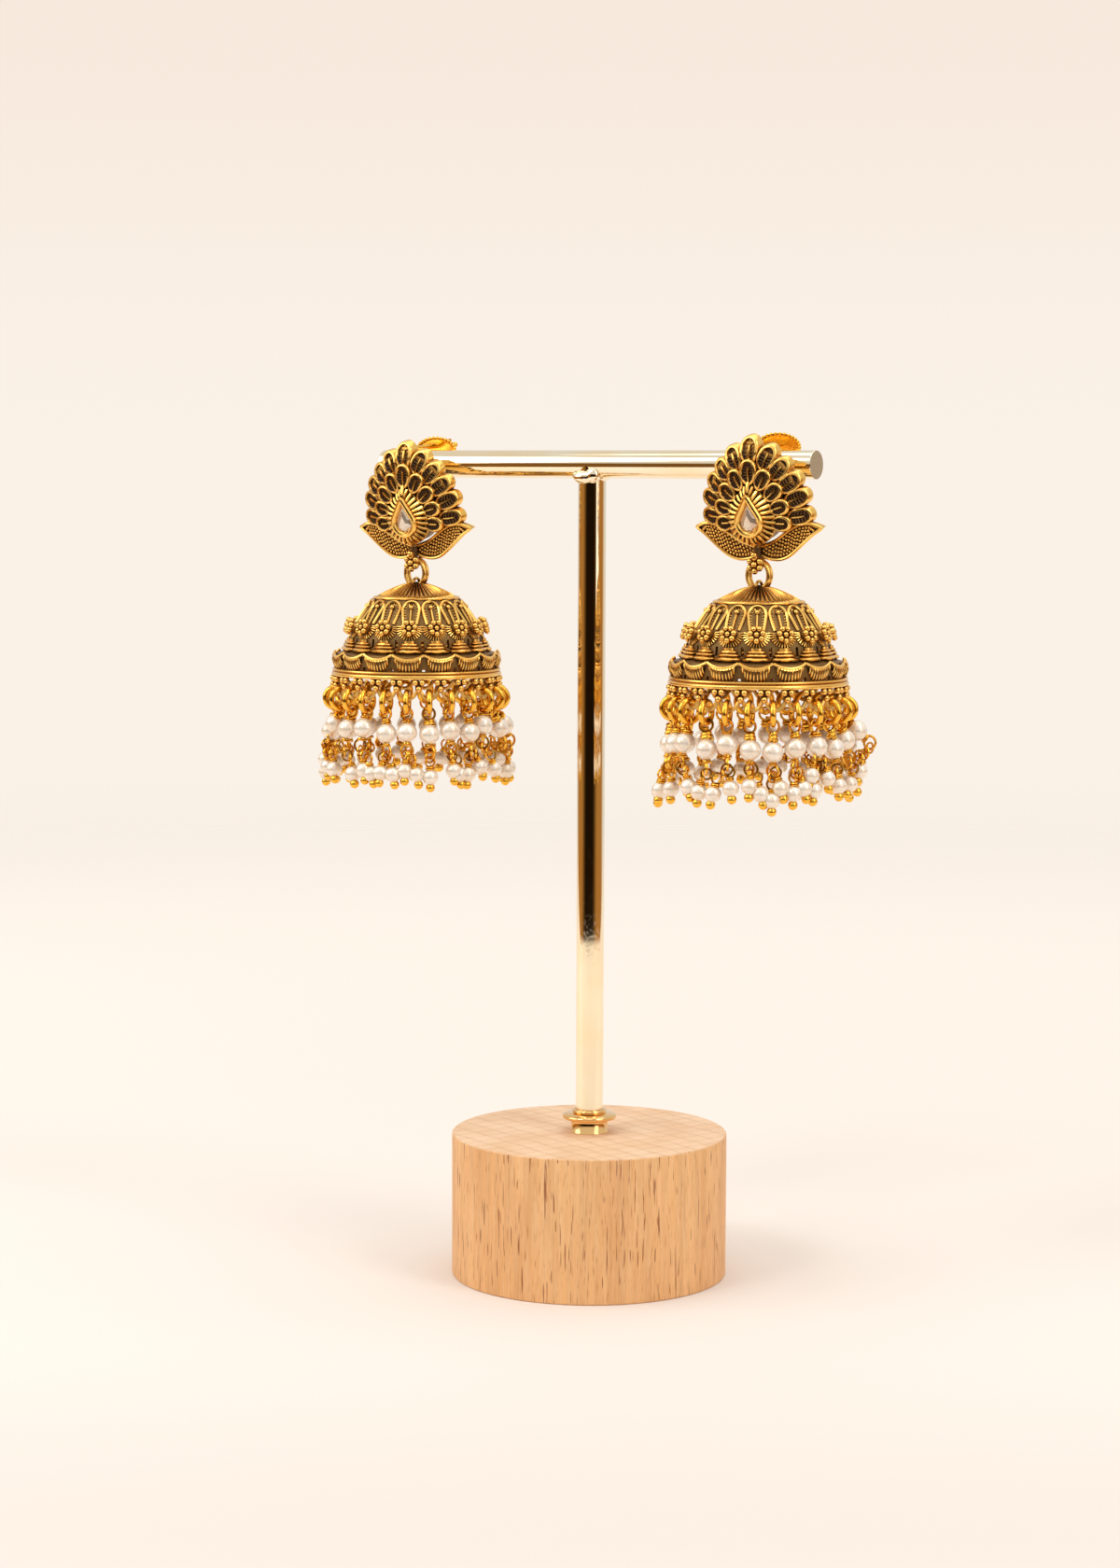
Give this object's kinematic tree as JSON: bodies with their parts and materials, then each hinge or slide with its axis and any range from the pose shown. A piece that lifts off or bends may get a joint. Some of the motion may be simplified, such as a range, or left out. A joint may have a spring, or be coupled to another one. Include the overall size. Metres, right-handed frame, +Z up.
{
  "type": "pair of jhumka earrings on a t-bar stand",
  "caption": "Bell-drop earrings with cast peacock-fan studs and pearl fringes, pinned over the bar of a small T-bar stand with a round wooden base.",
  "frame": {"origin": "centre of the base's underside", "axes": "+Z up the post, +X along the bar, the earrings face -Y"},
  "size_m": [0.1061, 0.05, 0.1525],
  "materials": {
    "beech": "sanded beech with dark pore flecks",
    "polished_gold": "pale gold plate, mirror polished",
    "antique_gold": "cast, antique gold with dark patina in the recesses",
    "bright_gold": "bright yellow gold plate",
    "pearl": "cream imitation pearl with a soft sheen",
    "champagne_stone": "clear champagne paste, faceted and polished"
  },
  "bodies": {
    "root": {"wood_base": "beech", "stand_collar": "polished_gold", "stand_post_bar": "polished_gold", "stud_right": "antique_gold", "stone_right": "champagne_stone", "push_back_right": "bright_gold", "stud_left": "antique_gold", "stone_left": "champagne_stone", "push_back_left": "bright_gold"},
    "link_right": {"jump_ring_right": "antique_gold"},
    "bell_right": {"bell_right": "antique_gold", "fringe_right": "pearl"},
    "link_left": {"jump_ring_left": "antique_gold"},
    "bell_left": {"bell_left": "antique_gold", "fringe_left": "pearl"}
  },
  "joints": [
    {"name": "swing_side_right", "type": "hinge", "parent": "root", "child": "link_right", "pos_m": [0.0358, -0.0033, 0.12947], "axis": [0, 1, 0], "range_deg": [-15, 15]},
    {"name": "swing_front_right", "type": "hinge", "parent": "link_right", "child": "bell_right", "pos_m": [0.0358, -0.0033, 0.12555], "axis": [1, 0, 0], "range_deg": [-20, 20]},
    {"name": "swing_side_left", "type": "hinge", "parent": "root", "child": "link_left", "pos_m": [-0.0358, -0.0033, 0.12852], "axis": [0, 1, 0], "range_deg": [-15, 15]},
    {"name": "swing_front_left", "type": "hinge", "parent": "link_left", "child": "bell_left", "pos_m": [-0.0358, -0.0033, 0.1246], "axis": [1, 0, 0], "range_deg": [-20, 20]}
  ]
}
